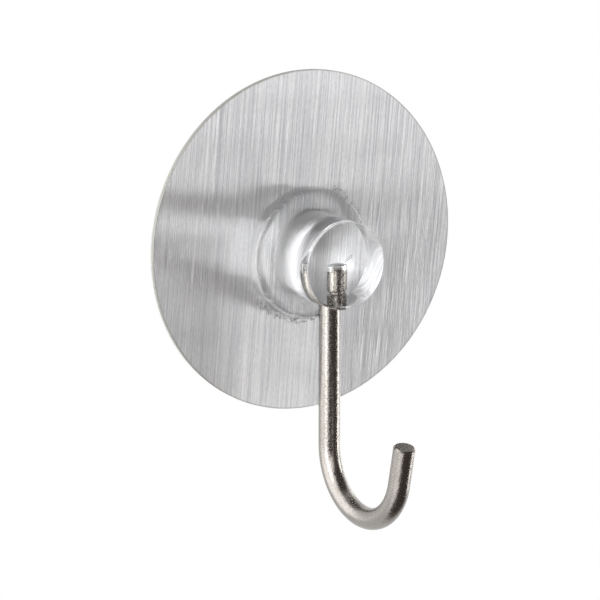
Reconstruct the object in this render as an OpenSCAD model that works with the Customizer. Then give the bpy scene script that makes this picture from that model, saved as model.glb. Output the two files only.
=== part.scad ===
// Adhesive wall hook: a round brushed sticker, a clear knob glued to it, and a wire J hook
// that turns in a blind hole in the knob. Millimetres. The wall is the plane y = 0, the front
// faces -Y, +Z is up, and the origin is the middle of the sticker's sticky back.

/* [Sticker] */
// Diameter of the round sticker
disc_d = 60; // [50:1:80]
// Thickness of the adhesive pad on the back
pad_t = 0.3; // [0.2:0.05:0.6]
// Thickness of the clear carrier sheet
sheet_t = 0.5; // [0.3:0.05:1]
// Thickness of the brushed foil on the front
foil_t = 0.1; // [0.05:0.05:0.3]

/* [Glue] */
// Thickness of the glue film under the knob
glue_t = 0.1; // [0.05:0.05:0.2]
// How far the glue is squeezed out past the flange
glue_spread = 1.4; // [0.4:0.1:2]
// Width of the glue film's thinning edge
glue_edge = 0.3; // [0.1:0.1:0.4]

/* [Knob] */
// How far the knob sits below the sticker's centre
knob_drop = 2; // [0:0.5:6]
// Height of the knob above the glue
knob_h = 13.4; // [12:0.1:20]
// Diameter of the knob's barrel
barrel_d = 15.4; // [14:0.1:18]
// Rounding of the barrel's front edge
rim_round = 0.3; // [0.1:0.1:1]
// Diameter of the flange at the knob's foot
flange_d = 23; // [20:0.5:30]
// Thickness of the flange
flange_t = 2.4; // [1.2:0.1:3]
// Rounding of the flange's front edge
flange_round = 0.6; // [0.2:0.1:1]
// Fillet between the barrel and the flange
root_round = 0.3; // [0.1:0.1:1]

/* [Hook] */
// Diameter of the hook's wire
wire_d = 3.8; // [3:0.1:4.2]
// Distance from the knob's foot to the wire's axis
wire_stand = 8; // [7:0.1:9]
// How deep the wire goes into the knob
wire_depth = 6.7; // [5:0.1:9]
// Length of straight wire between the knob and the bend
shank_l = 25; // [15:0.5:40]
// Clear gap inside the bend
hook_gap = 17.4; // [10:0.2:24]
// Angle that the bend turns through
bend_angle = 168; // [120:1:180]
// Length of straight wire after the bend
tip_l = 7.1; // [2:0.1:15]
// Chamfer on the wire's two cut ends
end_chamfer = 0.25; // [0.1:0.05:0.5]
// Angle that the hook is turned to at rest
hook_turn = 2.5; // [-20:0.5:20]

/* [Bearing] */
// Running clearance round the wire in the knob
clearance = 0.08; // [0.02:0.01:0.1]
// Radius of the bead in the hole that locks into the wire's groove
bead_r = 0.35; // [0.2:0.05:0.5]
// Height of the bead above the hole's mouth
bead_up = 2.6; // [1.5:0.1:4]
// Height of the air pocket above the wire's end, up to where its dome starts
pocket_h = 0.6; // [0.2:0.1:1.2]
// Height of the dome that closes the air pocket
pocket_dome = 0.4; // [0.2:0.1:0.8]
// Width of the lead-in chamfer at the hole's mouth
mouth_chamfer = 0.3; // [0.1:0.05:0.6]

/* [Hidden] */
$fn = 96;
// Overlap that keeps a cut clear of the face that it breaks through
over = 1;
// The hook's tip starts a little inside the bend and is a hair thinner, so that the two fuse
fuse_l = 0.1;
fuse_step = 0.002;

// Depths from the wall to the front of each layer
sheet_y = pad_t;
foil_y = sheet_y + sheet_t;
glue_y = foil_y + foil_t;
knob_y = glue_y + glue_t;

flange_r = flange_d / 2;
barrel_r = barrel_d / 2;
wire_r = wire_d / 2;
bore_r = wire_r + clearance;

// The wire's axis, and heights along it
axis_y = knob_y + wire_stand;
mouth_z = -knob_drop - barrel_r;
wire_top_z = mouth_z + wire_depth;
bead_z = mouth_z + bead_up;
bend_z = mouth_z - shank_l;
bend_r = (hook_gap + wire_d) / 2;

// The pocket's dome is a cap of a sphere that stands on the bore's end
bore_top_z = wire_top_z + pocket_h;
dome_r = (bore_r * bore_r + pocket_dome * pocket_dome) / (2 * pocket_dome);

// Turns a shape that stands on z = 0 to stand out from the wall, a depth y in front of it
module off_wall(y, drop = 0) {
    translate([0, -y, -drop])
        rotate([90, 0, 0])
            children();
}

// Moves a shape made on the Z axis to the axis of the wire
module on_wire_axis() {
    translate([0, -axis_y, 0])
        children();
}

// Disc whose front edge is rounded
module rounded_disc(r, h, edge) {
    cylinder(r = r, h = h - edge);
    cylinder(r = r - edge, h = h);
    translate([0, 0, h - edge])
        rotate_extrude()
            translate([r - edge, 0])
                circle(r = edge);
}

// Concave fillet round the foot of a post
module root_fillet(r, edge) {
    rotate_extrude()
        difference() {
            translate([r - edge, 0])
                square([2 * edge, edge]);
            translate([r + edge, edge])
                circle(r = edge);
        }
}

// Ring on the wire's axis, at the bead's height
module bead_ring(r) {
    translate([0, 0, bead_z])
        rotate_extrude()
            translate([bore_r, 0])
                circle(r = r);
}

// Blind hole for the wire, less the bead, with its domed pocket and its lead-in
module wire_hole() {
    difference() {
        translate([0, 0, mouth_z - over])
            cylinder(r = bore_r, h = bore_top_z - mouth_z + over);
        bead_ring(bead_r);
    }
    intersection() {
        translate([0, 0, bore_top_z + pocket_dome - dome_r])
            sphere(r = dome_r);
        translate([0, 0, bore_top_z])
            cylinder(r = bore_r, h = pocket_dome + over);
    }
    translate([0, 0, mouth_z])
        cylinder(r1 = bore_r + mouth_chamfer, r2 = bore_r, h = mouth_chamfer);
}

// Straight wire that stands on z = 0 and ends in a chamfered cut
module cut_wire(r, length) {
    cylinder(r = r, h = length - end_chamfer);
    translate([0, 0, length - end_chamfer])
        cylinder(r1 = r, r2 = r - end_chamfer, h = end_chamfer);
}

// The J bend, with its straight tip, which start where the shank ends
module bend_and_tip() {
    translate([0, -bend_r, bend_z]) {
        rotate([-90, 0, 90])
            rotate_extrude(angle = bend_angle)
                translate([bend_r, 0])
                    circle(r = wire_r);
        translate([0, bend_r * cos(bend_angle), -bend_r * sin(bend_angle)])
            rotate([180 - bend_angle, 0, 0])
                translate([0, 0, -fuse_l])
                    cut_wire(wire_r - fuse_step, tip_l + fuse_l);
    }
}

module adhesive_pad() {
    color("gainsboro")
        off_wall(0)
            cylinder(d = disc_d, h = pad_t);
}

module carrier_sheet() {
    color("darkkhaki")
        off_wall(sheet_y)
            cylinder(d = disc_d, h = sheet_t);
}

module brushed_foil() {
    color("silver")
        off_wall(foil_y)
            cylinder(d = disc_d, h = foil_t);
}

module glue_film() {
    glue_r = flange_r + glue_spread;
    color("whitesmoke")
        off_wall(glue_y, knob_drop)
            cylinder(r1 = glue_r, r2 = glue_r - glue_edge, h = glue_t);
}

module clear_knob() {
    color("white")
        difference() {
            off_wall(knob_y, knob_drop) {
                rounded_disc(flange_r, flange_t, flange_round);
                rounded_disc(barrel_r, knob_h, rim_round);
                translate([0, 0, flange_t])
                    root_fillet(barrel_r, root_round);
            }
            on_wire_axis()
                wire_hole();
        }
}

module hook_wire() {
    color("darkgray")
        on_wire_axis()
            rotate([0, 0, hook_turn])
                difference() {
                    union() {
                        translate([0, 0, bend_z])
                            cut_wire(wire_r, wire_top_z - bend_z);
                        bend_and_tip();
                    }
                    bead_ring(bead_r + clearance);
                }
}

adhesive_pad();
carrier_sheet();
brushed_foil();
glue_film();
clear_knob();
hook_wire();
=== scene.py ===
import math
import random

import bmesh
import bpy
from mathutils import Matrix, Vector


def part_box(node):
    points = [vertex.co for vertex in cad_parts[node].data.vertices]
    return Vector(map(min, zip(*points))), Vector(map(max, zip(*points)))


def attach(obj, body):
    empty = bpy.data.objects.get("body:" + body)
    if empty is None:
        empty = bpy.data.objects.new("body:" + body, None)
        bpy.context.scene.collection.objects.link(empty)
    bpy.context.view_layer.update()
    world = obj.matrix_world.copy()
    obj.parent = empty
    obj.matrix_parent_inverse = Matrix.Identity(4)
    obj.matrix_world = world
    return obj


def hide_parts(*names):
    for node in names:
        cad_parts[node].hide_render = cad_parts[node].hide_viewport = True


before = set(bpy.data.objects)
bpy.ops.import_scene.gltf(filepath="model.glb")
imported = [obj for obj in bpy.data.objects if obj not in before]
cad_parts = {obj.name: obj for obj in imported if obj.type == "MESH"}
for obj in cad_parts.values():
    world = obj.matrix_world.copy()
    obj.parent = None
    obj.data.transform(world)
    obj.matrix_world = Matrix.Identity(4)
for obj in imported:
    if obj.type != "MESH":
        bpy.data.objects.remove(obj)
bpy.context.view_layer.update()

# Sizes in millimetres, as in the part's source; scene units are metres
MM = 0.001

# Sticker: lean of the brushing in degrees, its lines per metre, and the length of a line in metres
BRUSH_LEAN = 5.0
BRUSH_LINES_PER_METRE = 4200.0
BRUSH_LINE_LENGTH = 0.012
# Width that the cutter rolls over at each layer's front edge, and of the dull line along the foil's rim
EDGE_ROLL = 0.05
DULL_RIM = 0.25

# Knob: heights are measured from its foot, outwards from the wall
KNOB_DROP = 2.0
BARREL_R = 7.7
RIM_ROUND = 0.3
FLANGE_T = 2.4
FLANGE_ROUND = 0.6
ROOT_ROUND = 0.3
# How far the clear plastic reaches into what it is bonded to, so that no air shows between them
BOND = 0.02

# Runs of squeezed-out glue: angle round the flange from the right and half width, in degrees,
# number of drops tried, and how near the flange the nearest drop may be
GLUE_RUNS = ((44.0, 18.0, 20, 0.7), (248.0, 30.0, 90, 0.45))
# Width of the glue's skirt elsewhere and in a run, as a share of the glue film's reach past the flange,
# with how much it falls towards the ends of a run, and how many degrees past them
SKIRT_ELSEWHERE = 0.08
SKIRT_IN_RUN = 0.25
RUN_FALL = 0.2
RUN_FADE = 8.0
# Waves in the skirt's width: height as a share, number round the flange, and start in degrees
SKIRT_WAVES = ((0.10, 17, 40), (0.08, 41, 10))
# Section of the skirt: shares of its width, outwards, and of the glue film's thickness
SKIRT_SECTION = ((0, 1.0), (0.3, 0.6), (0.6, 0.45), (0.85, 0.4), (0.97, 0.25))
# Drops of glue: least and greatest radius and stretch, height as a share of the radius,
# and the least distance between two of them as a share of their radii
DROP_RADIUS = (0.14, 0.27)
DROP_STRETCH = (1.0, 1.5)
DROP_HEIGHT = 0.95
DROP_SPACING = 1.3
# Air under a drop, which makes it shine as a bead: its height, and its width as a share of the drop's
DROP_AIR = 0.02
DROP_AIR_SHARE = 0.97

# Wire
WIRE_R = 1.9
WIRE_AXIS_Y = -9.0
WIRE_TOP_Z = -3.0
BEND_Z = -34.7
BEND_R = 10.6
BEND_ANGLE = 168.0
TIP_L = 7.1
END_CHAMFER = 0.25
HOOK_TURN = 2.5
# Groove of the wire that the knob's bead fills: its height, the radius of its section,
# and how far the middle of that section is from the wire's axis
GROOVE_Z = -7.1
GROOVE_R = 0.43
GROOVE_AXIS_R = 1.98
# The wire's hole in the knob
MOUTH_Z = -9.7
MOUTH_CHAMFER = 0.3
POCKET_H = 0.6
POCKET_DOME = 0.4
# Long air bubble in the plastic beside the pocket: its middle, half length, radius and slope in degrees
BUBBLE_AT = (2.3, -9.0, -1.5)
BUBBLE_HALF = 0.95
BUBBLE_R = 0.3
BUBBLE_SLOPE = 33.0

# Finishes: colours of the darker and the paler places, and the two ends of the roughness
FOIL_COLOURS = ((0.64, 0.652, 0.688, 1), (0.985, 0.99, 1.0, 1))
FOIL_ROUGHNESS = (0.36, 0.30)
FOIL_RIM_COLOUR = (0.45, 0.45, 0.44, 1)
SHEET_COLOURS = ((0.26, 0.26, 0.235, 1), (0.38, 0.38, 0.345, 1))
SHEET_ROUGHNESS = (0.22, 0.45)
ADHESIVE_COLOURS = ((0.36, 0.37, 0.35, 1), (0.52, 0.53, 0.51, 1))
ADHESIVE_ROUGHNESS = (0.18, 0.4)
CLEAR_COLOURS = ((0.975, 0.98, 0.975, 1), (0.995, 0.995, 0.99, 1))
CLEAR_ROUGHNESS = (0.0, 0.03)
WIRE_COLOURS = ((0.30, 0.281, 0.26, 1), (0.39, 0.367, 0.342, 1))
WIRE_ROUGHNESS = (0.24, 0.38)
PIT_COLOUR = (0.10, 0.085, 0.07, 1)
PIT_STRENGTH = 0.2
SAWN_COLOUR = (0.25, 0.233, 0.212, 1)
FLOOR_COLOUR = (0.82, 0.82, 0.82, 1)
WHITE = (1, 1, 1, 1)
# Refraction of the knob's plastic and of the glue, and the strength of the wave in their surfaces
KNOB_IOR = 1.59
KNOB_WAVE = 0.02
GLUE_IOR = 1.48
GLUE_WAVE = 0.05

# Number of sides and steps of the round meshes
DISC_SIDES = 256
HOLE_SIDES = 128
BUBBLE_SIDES = 32
BUBBLE_STEPS = 24
SKIRT_SIDES = 720
DROP_SIDES = 20
WIRE_SIDES = 64
SHANK_STEPS = 20
BEND_STEPS = 72

# Camera: the photograph's view, fitted to the sticker's rim
VIEW_AZIMUTH = -31.0
VIEW_ELEVATION = 12.92
VIEW_DISTANCE = 0.450
VIEW_LENS = 157.6
VIEW_AIM = (-5.98, -9.0, -8.26)

# Lamps: name, azimuth and elevation in degrees, width and height in metres, and level
LAMPS = (
    ("left_softbox", -91, 4, (2.3, 2.75), 1.6),
    ("left_strip", -68, 5, (0.35, 0.77), 4.5),
    ("upper_left_strip", -32, 14, (0.8, 0.42), 2.2),
    ("right_strip", 73, -7, (0.31, 1.0), 4.9),
    ("right_rim_light", 114, -17, (0.43, 2.2), 1.3),
)
LAMP_DISTANCE = 1.0
# Colour of the studio's dark side, where 1 is white
STUDIO_COLOUR = (0.084, 0.07, 0.059, 1)
# Half width and height of the floor, which lies below and behind the sticker
FLOOR_HALF = 2000
FLOOR_Z = -400

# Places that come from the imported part
foil_low, foil_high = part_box("brushed_foil")
sheet_low, sheet_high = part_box("carrier_sheet")
pad_low, pad_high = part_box("adhesive_pad")
glue_low, glue_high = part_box("glue_film")
knob_low, knob_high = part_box("clear_knob")
DISC_R = -foil_low.x / MM
FLANGE_R = knob_high.x / MM
FOIL_FRONT = -foil_low.y / MM
KNOB_FOOT = -knob_high.y / MM
KNOB_H = (knob_high.y - knob_low.y) / MM
GLUE_R = glue_high.x / MM


# Mesh helpers

def arc(centre, radius, start, end, steps):
    """Points of an arc in a profile, from the start angle to the end angle in degrees."""
    points = []
    for i in range(steps + 1):
        angle = math.radians(start + (end - start) * i / steps)
        points.append((centre[0] + radius * math.cos(angle), centre[1] + radius * math.sin(angle)))
    return points


def revolve(profile, sides):
    """Closed solid of revolution about Z, from (radius, height) points that start and end on the axis."""
    bm = bmesh.new()
    rings = []
    for radius, height in profile:
        if radius < 1e-6:
            rings.append([bm.verts.new((0, 0, height))])
            continue
        ring = []
        for i in range(sides):
            angle = 2 * math.pi * i / sides
            ring.append(bm.verts.new((radius * math.cos(angle), radius * math.sin(angle), height)))
        rings.append(ring)
    for lower, upper in zip(rings, rings[1:]):
        for i in range(sides):
            j = (i + 1) % sides
            corners = [lower[i % len(lower)], lower[j % len(lower)]]
            corners += [upper[j % len(upper)], upper[i % len(upper)]]
            bm.faces.new(list(dict.fromkeys(corners)))
    bmesh.ops.recalc_face_normals(bm, faces=bm.faces)
    return bm


def off_wall(depth, drop=0.0):
    """Placement of a shape that stands on z = 0, turned to stand out from the wall."""
    return Matrix.Translation((0, -depth, -drop)) @ Matrix.Rotation(math.radians(90), 4, "X")


def piece_from(bm, name, place, sharp=35.0):
    """Object in metres from a mesh in millimetres, smooth apart from its sharp edges."""
    bmesh.ops.transform(bm, matrix=place, verts=bm.verts)
    bmesh.ops.scale(bm, vec=(MM, MM, MM), verts=bm.verts)
    for face in bm.faces:
        face.smooth = True
    for edge in bm.edges:
        if len(edge.link_faces) == 2:
            edge.smooth = edge.calc_face_angle() < math.radians(sharp)
    mesh = bpy.data.meshes.new(name)
    bm.to_mesh(mesh)
    bm.free()
    made = bpy.data.objects.new(name, mesh)
    bpy.context.scene.collection.objects.link(made)
    return made


def cut_from(piece, cutter):
    """Cuts the cutter's solid out of the piece, and removes the cutter."""
    modifier = piece.modifiers.new("cut", "BOOLEAN")
    modifier.operation = "DIFFERENCE"
    modifier.solver = "EXACT"
    modifier.object = cutter
    bpy.context.view_layer.objects.active = piece
    bpy.ops.object.modifier_apply(modifier=modifier.name)
    bpy.data.objects.remove(cutter)


def finish_piece(piece, material, body, node):
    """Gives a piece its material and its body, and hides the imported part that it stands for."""
    piece.data.materials.clear()
    piece.data.materials.append(material)
    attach(piece, body)
    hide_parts(node)


# Node helpers

def add_node(tree, kind, inputs=None, **settings):
    """New node with its settings, and its inputs set to values or linked to sockets."""
    made = tree.nodes.new(kind)
    for name, value in settings.items():
        setattr(made, name, value)
    for name, value in (inputs or {}).items():
        if isinstance(value, bpy.types.NodeSocket):
            tree.links.new(value, made.inputs[name])
        else:
            made.inputs[name].default_value = value
    return made


def math_node(tree, operation, a, b=0.0, c=0.0):
    """Output of one arithmetic node."""
    return add_node(tree, "ShaderNodeMath", {0: a, 1: b, 2: c}, operation=operation).outputs[0]


def vector_node(tree, operation, a, b=(0, 0, 0), output="Vector"):
    """Output of one vector arithmetic node."""
    return add_node(tree, "ShaderNodeVectorMath", {0: a, 1: b}, operation=operation).outputs[output]


def mix_colour(tree, factor, a, b):
    """Output of a colour mix."""
    return add_node(tree, "ShaderNodeMix", {0: factor, 6: a, 7: b}, data_type="RGBA").outputs[2]


def ramp(tree, value, start, end, low=0.0, high=1.0):
    """Goes from low to high as the value goes from start to end, and stays there."""
    made = add_node(tree, "ShaderNodeMapRange", {
        "Value": value, "From Min": start, "From Max": end, "To Min": low, "To Max": high})
    return made.outputs[0]


def bump(tree, height, strength, distance):
    """Normal from a height, in metres of relief."""
    made = add_node(tree, "ShaderNodeBump", {
        "Height": height, "Strength": strength, "Distance": distance})
    return made.outputs[0]


def new_group(name, inputs, outputs):
    """Shader node group with named sockets; returns the tree and its two end nodes."""
    tree = bpy.data.node_groups.new(name, "ShaderNodeTree")
    for label, kind, value in inputs:
        socket = tree.interface.new_socket(label, in_out="INPUT", socket_type=kind)
        if value is not None:
            socket.default_value = value
    for label, kind in outputs:
        tree.interface.new_socket(label, in_out="OUTPUT", socket_type=kind)
    return tree, tree.nodes.new("NodeGroupInput"), tree.nodes.new("NodeGroupOutput")


def use_group(tree, group, **inputs):
    """Places a node group, with its inputs named in words joined by underscores."""
    made = tree.nodes.new("ShaderNodeGroup")
    made.node_tree = group
    for name, value in inputs.items():
        socket = made.inputs[name.replace("_", " ")]
        if isinstance(value, bpy.types.NodeSocket):
            tree.links.new(value, socket)
        else:
            socket.default_value = value
    return made.outputs


def new_material(name):
    """New material, with its node tree and its Principled BSDF."""
    made = bpy.data.materials.new(name)
    made.use_nodes = True
    return made, made.node_tree, made.node_tree.nodes["Principled BSDF"]


def place_on_piece(tree):
    """Place of a point on its own piece, in metres."""
    return add_node(tree, "ShaderNodeTexCoord").outputs["Object"]


# Effects that the materials share

def streak_group():
    """Fine lines drawn out along Z of the coordinates: their shade and the tilt of their flanks."""
    tree, start, end = new_group(
        "drawn_streaks",
        [("Vector", "NodeSocketVector", None), ("Lines per metre", "NodeSocketFloat", 4000.0),
         ("Line length", "NodeSocketFloat", 0.01)],
        [("Lines", "NodeSocketFloat"), ("Tilt", "NodeSocketFloat")])
    across = start.outputs["Lines per metre"]
    along = math_node(tree, "DIVIDE", 1.0, start.outputs["Line length"])
    layers = []
    # Fineness across the lines, breaks along them, and detail of each layer
    for fineness, breaks, detail in (
            (1.0, 0.35, 2.0), (1.1, 2.0, 2.0), (1.3, 14.0, 1.0), (14.0, 1.5, 3.0)):
        size = add_node(tree, "ShaderNodeCombineXYZ", {
            "X": math_node(tree, "MULTIPLY", across, fineness),
            "Y": math_node(tree, "MULTIPLY", across, fineness),
            "Z": math_node(tree, "MULTIPLY", along, breaks)}).outputs[0]
        placed = vector_node(tree, "MULTIPLY", start.outputs["Vector"], size)
        layers.append(add_node(tree, "ShaderNodeTexNoise", {
            "Vector": placed, "Scale": 1.0, "Detail": detail, "Roughness": 0.65}).outputs[0])
    long_lines, short_lines, dashes, flanks = layers
    short = math_node(tree, "ADD", short_lines, dashes)
    total = math_node(tree, "ADD", long_lines, math_node(tree, "MULTIPLY", short, 0.35))
    tree.links.new(ramp(tree, total, 0.65, 1.05), end.inputs["Lines"])
    tree.links.new(flanks, end.inputs["Tilt"])
    return tree


def speckle_group():
    """Fine scattered spots, and a broad soft haze."""
    tree, start, end = new_group(
        "fine_speckle",
        [("Vector", "NodeSocketVector", None), ("Spots per metre", "NodeSocketFloat", 4000.0),
         ("Cover", "NodeSocketFloat", 0.5)],
        [("Spots", "NodeSocketFloat"), ("Haze", "NodeSocketFloat")])
    vector, density = start.outputs["Vector"], start.outputs["Spots per metre"]
    fine = add_node(tree, "ShaderNodeTexNoise", {"Vector": vector, "Scale": density, "Detail": 2.0})
    low = math_node(tree, "SUBTRACT", 1.0, start.outputs["Cover"])
    spots = ramp(tree, fine.outputs[0], low, math_node(tree, "ADD", low, 0.2))
    broad = add_node(tree, "ShaderNodeTexNoise", {
        "Vector": vector, "Scale": math_node(tree, "MULTIPLY", density, 0.08), "Detail": 4.0})
    tree.links.new(spots, end.inputs["Spots"])
    tree.links.new(broad.outputs[0], end.inputs["Haze"])
    return tree


streaks = streak_group()
speckle = speckle_group()


# Materials

def brushed_foil_material():
    """Brushed metal: the flanks of its fine lines spread reflections across the grain, not along it."""
    material, tree, shader = new_material("brushed_foil")
    place = place_on_piece(tree)
    turn = (0, math.radians(-BRUSH_LEAN), 0)
    turned = add_node(tree, "ShaderNodeMapping", {"Vector": place, "Rotation": turn}).outputs[0]
    brush = use_group(
        tree, streaks, Vector=turned,
        Lines_per_metre=BRUSH_LINES_PER_METRE, Line_length=BRUSH_LINE_LENGTH)
    tint = mix_colour(tree, brush["Lines"], *FOIL_COLOURS)
    flat_place = vector_node(tree, "MULTIPLY", place, (1, 0, 1))
    from_middle = vector_node(tree, "LENGTH", flat_place, output="Value")
    rim = ramp(tree, from_middle, (DISC_R - DULL_RIM) * MM, (DISC_R - EDGE_ROLL) * MM)
    tree.links.new(mix_colour(tree, rim, tint, FOIL_RIM_COLOUR), shader.inputs["Base Color"])
    tree.links.new(ramp(tree, brush["Lines"], 0, 1, *FOIL_ROUGHNESS), shader.inputs["Roughness"])
    lean = math_node(tree, "MULTIPLY_ADD", brush["Tilt"], 2.0, -0.5)
    dip = math_node(tree, "MULTIPLY_ADD", brush["Lines"], 0.03, 0.485)
    slope = add_node(tree, "ShaderNodeCombineColor", {"Red": lean, "Green": dip, "Blue": 1.0})
    flank = add_node(tree, "ShaderNodeNormalMap", {"Color": slope.outputs[0]}, uv_map="brush")
    tree.links.new(flank.outputs[0], shader.inputs["Normal"])
    tangent = add_node(tree, "ShaderNodeTangent", direction_type="UV_MAP", uv_map="brush")
    tree.links.new(tangent.outputs[0], shader.inputs["Tangent"])
    shader.inputs["Metallic"].default_value = 0.9
    shader.inputs["Anisotropic"].default_value = 1.0
    return material


def cut_sheet_material():
    """Clear sheet, which looks grey and a little rough where it is cut."""
    material, tree, shader = new_material("cut_sheet")
    place = place_on_piece(tree)
    marks = use_group(tree, speckle, Vector=place, Spots_per_metre=1500.0, Cover=0.45)
    tint = mix_colour(tree, marks["Haze"], *SHEET_COLOURS)
    tree.links.new(tint, shader.inputs["Base Color"])
    tree.links.new(ramp(tree, marks["Spots"], 0, 1, *SHEET_ROUGHNESS), shader.inputs["Roughness"])
    return material


def adhesive_material():
    """Tacky layer with a soft, uneven gloss."""
    material, tree, shader = new_material("adhesive")
    place = place_on_piece(tree)
    marks = use_group(tree, speckle, Vector=place, Spots_per_metre=900.0, Cover=0.4)
    tint = mix_colour(tree, marks["Haze"], *ADHESIVE_COLOURS)
    tree.links.new(tint, shader.inputs["Base Color"])
    tree.links.new(ramp(tree, marks["Spots"], 0, 1, *ADHESIVE_ROUGHNESS), shader.inputs["Roughness"])
    tree.links.new(bump(tree, marks["Haze"], 0.3, 0.0002), shader.inputs["Normal"])
    return material


def clear_plastic_material(name, ior, wave):
    """Clear polished plastic with a faint wave in its surface."""
    material, tree, shader = new_material(name)
    place = place_on_piece(tree)
    marks = use_group(tree, speckle, Vector=place, Spots_per_metre=2500.0, Cover=0.4)
    tint = mix_colour(tree, marks["Haze"], *CLEAR_COLOURS)
    tree.links.new(tint, shader.inputs["Base Color"])
    tree.links.new(ramp(tree, marks["Spots"], 0, 1, *CLEAR_ROUGHNESS), shader.inputs["Roughness"])
    tree.links.new(bump(tree, marks["Haze"], wave, 0.0001), shader.inputs["Normal"])
    shader.inputs["Transmission Weight"].default_value = 1.0
    shader.inputs["IOR"].default_value = ior
    return material


def plated_wire_material():
    """Satin plate with fine pits; the sawn end at the tip is darker."""
    material, tree, shader = new_material("plated_wire")
    place = place_on_piece(tree)
    grain = use_group(tree, speckle, Vector=place, Spots_per_metre=3800.0, Cover=0.5)
    tint = mix_colour(tree, grain["Haze"], *WIRE_COLOURS)
    pits = math_node(tree, "MULTIPLY", grain["Spots"], PIT_STRENGTH)
    tint = mix_colour(tree, pits, tint, PIT_COLOUR)
    tint = mix_colour(tree, sawn_end(tree, place), tint, SAWN_COLOUR)
    tree.links.new(tint, shader.inputs["Base Color"])
    tree.links.new(ramp(tree, grain["Spots"], 0, 1, *WIRE_ROUGHNESS), shader.inputs["Roughness"])
    tree.links.new(bump(tree, grain["Spots"], 0.6, 0.00002), shader.inputs["Normal"])
    shader.inputs["Metallic"].default_value = 1.0
    return material


def sawn_end(tree, place):
    """Mask of the flat end of the wire's tip."""
    turn = hook_place()
    tip, along, radius = wire_stations()[-1]
    margin = 0.02 * MM
    from_tip = vector_node(tree, "SUBTRACT", place, turn @ tip * MM)
    past = vector_node(tree, "DOT_PRODUCT", from_tip, turn.to_3x3() @ along, "Value")
    away = vector_node(tree, "LENGTH", from_tip, output="Value")
    near = math_node(tree, "LESS_THAN", away, 2 * WIRE_R * MM)
    return math_node(tree, "MULTIPLY", near, math_node(tree, "GREATER_THAN", past, -margin))


# Pieces

def make_disc(name, low, high):
    """One round layer of the sticker, from its box's corners, its front edge rolled over by the cutter."""
    thickness = (high.y - low.y) / MM
    radius = -low.x / MM
    profile = [(0, 0), (radius, 0)]
    for out, up in arc((radius - EDGE_ROLL, 0), EDGE_ROLL, 0, 90, 5):
        profile.append((out, thickness - EDGE_ROLL / 2 + up / 2))
    profile.append((0, thickness))
    return piece_from(revolve(profile, DISC_SIDES), name, off_wall(-high.y / MM))


def map_brush(piece):
    """Map whose first direction runs across the brushing, the way that the foil spreads a reflection."""
    lean = math.radians(BRUSH_LEAN)
    width = 2 * DISC_R * MM
    layer = piece.data.uv_layers.new(name="brush")
    for loop in piece.data.loops:
        place = piece.data.vertices[loop.vertex_index].co
        along = place.x * math.sin(lean) + place.z * math.cos(lean)
        across = place.x * math.cos(lean) - place.z * math.sin(lean)
        layer.data[loop.index].uv = (across / width + 0.5, along / width + 0.5)


def make_knob():
    """The clear knob: flange and barrel in one turned solid, less the wire's hole and a bubble."""
    foot = KNOB_FOOT - FOIL_FRONT + BOND
    profile = [(0, -foot), (FLANGE_R, -foot)]
    profile += arc((FLANGE_R - FLANGE_ROUND, FLANGE_T - FLANGE_ROUND), FLANGE_ROUND, 0, 90, 12)
    profile += arc((BARREL_R + ROOT_ROUND, FLANGE_T + ROOT_ROUND), ROOT_ROUND, 270, 180, 8)
    profile += arc((BARREL_R - RIM_ROUND, KNOB_H - RIM_ROUND), RIM_ROUND, 0, 90, 8)
    profile += [(0, KNOB_H)]
    knob = piece_from(revolve(profile, DISC_SIDES), "knob", off_wall(KNOB_FOOT, KNOB_DROP))
    cut_from(knob, make_hole_cutter())
    cut_from(knob, make_bubble_cutter())
    return knob


def make_hole_cutter():
    """Solid of the wire's hole, a hair inside the wire: lead-in, waist at the bead, and air pocket."""
    hole_r = WIRE_R - BOND
    mouth_r = hole_r + MOUTH_CHAMFER
    bead_r = GROOVE_R + BOND
    half = math.degrees(math.acos((GROOVE_AXIS_R - hole_r) / bead_r))
    dome_r = (hole_r ** 2 + POCKET_DOME ** 2) / (2 * POCKET_DOME)
    spread = math.degrees(math.asin(hole_r / dome_r))
    dome_top = WIRE_TOP_Z + POCKET_H + POCKET_DOME
    profile = [(0, MOUTH_Z - 1), (mouth_r, MOUTH_Z - 1), (mouth_r, MOUTH_Z)]
    profile += [(hole_r, MOUTH_Z + MOUTH_CHAMFER)]
    profile += arc((GROOVE_AXIS_R, GROOVE_Z), bead_r, 180 + half, 180 - half, 10)
    profile += arc((0, dome_top - dome_r), dome_r, 90 - spread, 90, 14)[:-1]
    profile += [(0, dome_top)]
    return piece_from(revolve(profile, HOLE_SIDES), "hole", Matrix.Translation((0, WIRE_AXIS_Y, 0)))


def make_bubble_cutter():
    """Solid of the long air bubble, thinner towards the pocket that it came from."""
    profile = [(0, -BUBBLE_HALF)]
    for i in range(1, BUBBLE_STEPS):
        share = -1 + 2 * i / BUBBLE_STEPS
        radius = BUBBLE_R * math.sqrt(1 - share ** 2) * (0.65 + 0.35 * share)
        profile.append((radius, BUBBLE_HALF * share))
    profile += [(0, BUBBLE_HALF)]
    place = Matrix.Translation(BUBBLE_AT) @ Matrix.Rotation(math.radians(90 - BUBBLE_SLOPE), 4, "Y")
    return piece_from(revolve(profile, BUBBLE_SIDES), "bubble", place)


def skirt_share(degrees):
    """Width of the glue's skirt at an angle round the flange, as a share of the glue film's reach."""
    share = SKIRT_ELSEWHERE
    for middle, half, tries, nearest in GLUE_RUNS:
        off = abs((degrees - middle + 180) % 360 - 180)
        share = max(share, SKIRT_IN_RUN - RUN_FALL * (off / (half + RUN_FADE)) ** 4)
    wave = 0.0
    for height, count, start in SKIRT_WAVES:
        wave += height * math.sin(math.radians(degrees * count + start))
    return share + wave * share


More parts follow.
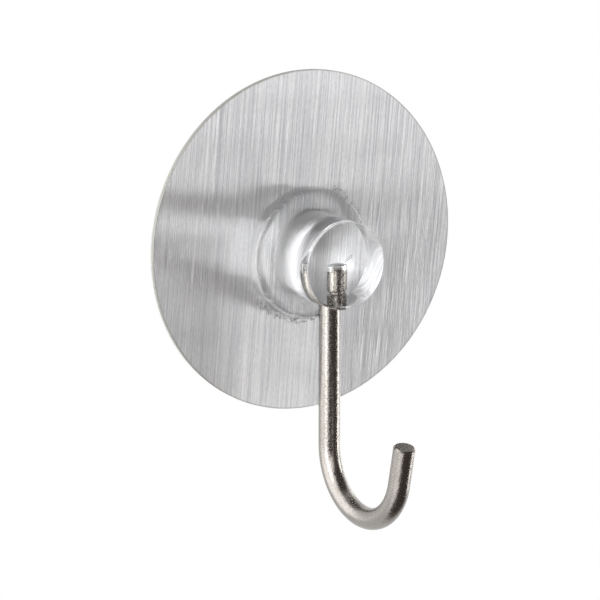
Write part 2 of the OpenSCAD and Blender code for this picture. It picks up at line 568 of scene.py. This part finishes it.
def make_glue():
    """Clear glue squeezed out round the flange: a thin wavy skirt, with drops where it broke up."""
    bm = bmesh.new()
    thickness = KNOB_FOOT - FOIL_FRONT
    section = [(share, height * thickness) for share, height in SKIRT_SECTION]
    rings = []
    for i in range(SKIRT_SIDES):
        degrees = 360 * i / SKIRT_SIDES
        angle = math.radians(degrees)
        width = (GLUE_R - FLANGE_R) * skirt_share(degrees)
        ring = []
        for share, height in [(0, -BOND)] + section + [(1, -BOND)]:
            radius = FLANGE_R - BOND + (width + BOND) * share
            ring.append(bm.verts.new((radius * math.cos(angle), radius * math.sin(angle), height)))
        rings.append(ring)
    for i, ring in enumerate(rings):
        after = rings[(i + 1) % SKIRT_SIDES]
        for k in range(len(ring)):
            j = (k + 1) % len(ring)
            bm.faces.new((ring[k], after[k], after[j], ring[j]))
    for x, z, radius, stretch in glue_drops():
        add_drop(bm, x, z, radius, stretch)
    bmesh.ops.recalc_face_normals(bm, faces=bm.faces)
    return piece_from(bm, "glue", off_wall(FOIL_FRONT, KNOB_DROP), sharp=60)


def glue_drops():
    """Scattered places, radii and stretches of the glue's drops, which keep clear of each other."""
    chance = random.Random(5)
    drops = []
    for middle, half, tries, nearest in GLUE_RUNS:
        for _ in range(tries):
            radius = chance.uniform(*DROP_RADIUS)
            stretch = chance.uniform(*DROP_STRETCH)
            angle = math.radians(middle + half * chance.uniform(-1, 1))
            reach = FLANGE_R + chance.uniform(nearest, GLUE_R - FLANGE_R - radius)
            x, z = reach * math.cos(angle), reach * math.sin(angle)
            gaps = [math.hypot(x - a, z - b) - DROP_SPACING * (radius + r) for a, b, r, s in drops]
            if all(gap > 0 for gap in gaps):
                drops.append((x, z, radius, stretch))
    return drops


def add_drop(bm, x, z, radius, stretch):
    """One drop of glue, drawn out along the flange; its rim stands in the foil, over a hair of air."""
    height = DROP_HEIGHT * radius
    profile = [(0, DROP_AIR), (DROP_AIR_SHARE * radius, DROP_AIR), (radius, -BOND)]
    profile += [(radius * math.cos(t), height * math.sin(t)) for t in (0.15, 0.4, 0.7, 1.0, 1.3)]
    profile += [(0, height)]
    drop = revolve(profile, DROP_SIDES)
    bmesh.ops.scale(drop, vec=(1, stretch, 1), verts=drop.verts)
    place = Matrix.Translation((x, z, 0)) @ Matrix.Rotation(math.atan2(z, x), 4, "Z")
    bmesh.ops.transform(drop, matrix=place, verts=drop.verts)
    mesh = bpy.data.meshes.new("drop")
    drop.to_mesh(mesh)
    drop.free()
    bm.from_mesh(mesh)
    bpy.data.meshes.remove(mesh)


def hook_place():
    """Placement of the hook on the wire's axis, turned to its place at rest."""
    return Matrix.Translation((0, WIRE_AXIS_Y, 0)) @ Matrix.Rotation(math.radians(HOOK_TURN), 4, "Z")


def wire_stations():
    """Places, directions and radii along the wire, from its end in the knob to its tip."""
    stations = []
    down = Vector((0, 0, -1))
    for height, radius in ((WIRE_TOP_Z, WIRE_R - END_CHAMFER), (WIRE_TOP_Z - END_CHAMFER, WIRE_R)):
        stations.append((Vector((0, 0, height)), down, radius))
    half = math.degrees(math.acos((GROOVE_AXIS_R - WIRE_R) / GROOVE_R))
    for radius, height in arc((GROOVE_AXIS_R, GROOVE_Z), GROOVE_R, 180 - half, 180 + half, 12):
        stations.append((Vector((0, 0, height)), down, radius))
    groove_end = GROOVE_Z - GROOVE_R
    for i in range(1, SHANK_STEPS + 1):
        height = groove_end + (BEND_Z - groove_end) * i / SHANK_STEPS
        stations.append((Vector((0, 0, height)), down, WIRE_R))
    for i in range(1, BEND_STEPS + 1):
        turn = math.radians(BEND_ANGLE * i / BEND_STEPS)
        place = Vector((0, -BEND_R + BEND_R * math.cos(turn), BEND_Z - BEND_R * math.sin(turn)))
        stations.append((place, Vector((0, -math.sin(turn), -math.cos(turn))), WIRE_R))
    start, along, radius = stations[-1]
    for length, end_r in (
            (TIP_L * 0.5, WIRE_R), (TIP_L - END_CHAMFER, WIRE_R), (TIP_L, WIRE_R - END_CHAMFER)):
        stations.append((start + along * length, along, end_r))
    return stations


def make_hook():
    """The wire J hook, swept along its stations and closed at its two cut ends."""
    bm = bmesh.new()
    side = Vector((1, 0, 0))
    rings = []
    for place, along, radius in wire_stations():
        other = along.cross(side).normalized()
        ring = []
        for i in range(WIRE_SIDES):
            angle = 2 * math.pi * i / WIRE_SIDES
            out = side * radius * math.cos(angle) + other * radius * math.sin(angle)
            ring.append(bm.verts.new(place + out))
        rings.append(ring)
    for a, b in zip(rings, rings[1:]):
        for i in range(WIRE_SIDES):
            j = (i + 1) % WIRE_SIDES
            bm.faces.new((a[i], a[j], b[j], b[i]))
    bm.faces.new(rings[0])
    bm.faces.new(rings[-1])
    bmesh.ops.recalc_face_normals(bm, faces=bm.faces)
    return piece_from(bm, "hook", hook_place())


foil = make_disc("foil", foil_low, foil_high)
map_brush(foil)
finish_piece(foil, brushed_foil_material(), "plate", "brushed_foil")
sheet = make_disc("sheet", sheet_low, sheet_high)
finish_piece(sheet, cut_sheet_material(), "plate", "carrier_sheet")
pad = make_disc("pad", pad_low, pad_high)
finish_piece(pad, adhesive_material(), "plate", "adhesive_pad")
knob = make_knob()
clear_plastic = clear_plastic_material("clear_plastic", KNOB_IOR, KNOB_WAVE)
finish_piece(knob, clear_plastic, "plate", "clear_knob")
glue = make_glue()
clear_glue = clear_plastic_material("clear_glue", GLUE_IOR, GLUE_WAVE)
finish_piece(glue, clear_glue, "plate", "glue_film")
hook = make_hook()
finish_piece(hook, plated_wire_material(), "hook", "hook_wire")


# Stage

def towards(azimuth, elevation):
    """Direction from the object, by degrees round it from the front and above the level."""
    a, e = math.radians(azimuth), math.radians(elevation)
    return Vector((math.sin(a) * math.cos(e), -math.cos(a) * math.cos(e), math.sin(e)))


def make_floor():
    """Pale floor, which looks white itself and in metal and glass."""
    bm = bmesh.new()
    bmesh.ops.create_grid(bm, x_segments=1, y_segments=1, size=FLOOR_HALF)
    floor = piece_from(bm, "floor", Matrix.Translation((0, FLOOR_HALF, FLOOR_Z)))
    material, tree, shader = new_material("floor")
    shader.inputs["Base Color"].default_value = FLOOR_COLOUR
    shader.inputs["Roughness"].default_value = 0.9
    path = add_node(tree, "ShaderNodeLightPath").outputs
    seen = math_node(tree, "MAXIMUM", path["Is Camera Ray"], path["Is Transmission Ray"])
    seen = math_node(tree, "MAXIMUM", seen, path["Is Glossy Ray"])
    white = add_node(tree, "ShaderNodeEmission", {"Color": WHITE, "Strength": 1.0})
    mixed = add_node(tree, "ShaderNodeMixShader", {0: seen, 1: shader.outputs[0], 2: white.outputs[0]})
    tree.links.new(mixed.outputs[0], tree.nodes["Material Output"].inputs["Surface"])
    floor.data.materials.append(material)


def make_world():
    """Dark studio in front of the object, where the camera stands; white behind it."""
    world = bpy.data.worlds.new("studio")
    bpy.context.scene.world = world
    world.use_nodes = True
    tree = world.node_tree
    background = tree.nodes["Background"]
    direction = add_node(tree, "ShaderNodeTexCoord").outputs["Generated"]
    parts = add_node(tree, "ShaderNodeSeparateXYZ", {0: direction})
    behind = add_node(
        tree, "ShaderNodeMapRange", {"Value": parts.outputs["Y"], "From Min": -0.05, "From Max": 0.15},
        interpolation_type="SMOOTHSTEP")
    path = add_node(tree, "ShaderNodeLightPath").outputs
    sharp = math_node(tree, "MAXIMUM", path["Is Glossy Ray"], path["Is Transmission Ray"])
    mirrored = math_node(tree, "MULTIPLY", sharp, behind.outputs[0])
    seen = math_node(tree, "MAXIMUM", path["Is Camera Ray"], mirrored)
    tree.links.new(mix_colour(tree, seen, STUDIO_COLOUR, WHITE), background.inputs["Color"])
    background.inputs["Strength"].default_value = 1.0


def make_lamp(name, azimuth, elevation, size, level):
    """Soft lamp that faces the object; a level of 1 looks as bright as white paper."""
    data = bpy.data.lights.new(name, "AREA")
    data.shape = "RECTANGLE"
    data.size, data.size_y = size
    data.energy = level * math.pi * size[0] * size[1]
    lamp = bpy.data.objects.new(name, data)
    back = towards(azimuth, elevation)
    lamp.location = back * LAMP_DISTANCE
    lamp.rotation_euler = back.to_track_quat("Z", "Y").to_euler()
    bpy.context.scene.collection.objects.link(lamp)


def make_camera():
    """Camera at the photograph's place, which looks at the aim."""
    data = bpy.data.cameras.new("camera")
    data.lens = VIEW_LENS
    data.sensor_width = 36.0
    data.clip_start = 0.01
    camera = bpy.data.objects.new("camera", data)
    back = towards(VIEW_AZIMUTH, VIEW_ELEVATION)
    camera.location = Vector(VIEW_AIM) * MM + back * VIEW_DISTANCE
    camera.rotation_euler = back.to_track_quat("Z", "Y").to_euler()
    bpy.context.scene.collection.objects.link(camera)
    bpy.context.scene.camera = camera


make_floor()
make_world()
for lamp_values in LAMPS:
    make_lamp(*lamp_values)
make_camera()
scene = bpy.context.scene
scene.view_settings.view_transform = "Standard"
# Enough bounces for light to pass through the knob and back
scene.cycles.max_bounces = 32
scene.cycles.diffuse_bounces = 8
scene.cycles.glossy_bounces = 16
scene.cycles.transmission_bounces = 24
scene.cycles.blur_glossy = 0.0
